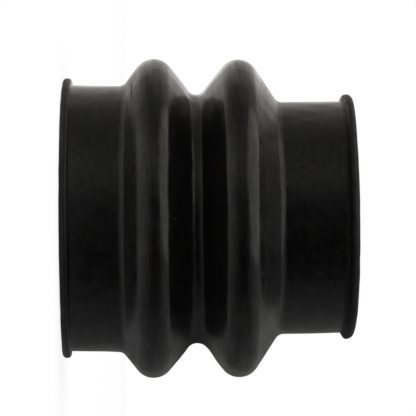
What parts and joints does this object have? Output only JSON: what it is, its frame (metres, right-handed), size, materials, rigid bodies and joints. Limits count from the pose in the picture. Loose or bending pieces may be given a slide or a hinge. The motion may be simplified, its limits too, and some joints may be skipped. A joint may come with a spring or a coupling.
{
  "type": "rubber bellows boot",
  "caption": "One-piece moulded rubber bellows boot: a large and a small beaded cuff for band clamps, joined by rounded folds that flex.",
  "frame": {"origin": "centre of the large end, in the plane of its end face", "axes": "+Z along the boot's axis, from the large cuff to the small cuff; the boot stands on its large end"},
  "size_m": [0.096, 0.096, 0.0872],
  "materials": {
    "rubber": "moulded, semi-matt black"
  },
  "bodies": {
    "root": {"bellows_boot": "rubber"}
  },
  "joints": []
}
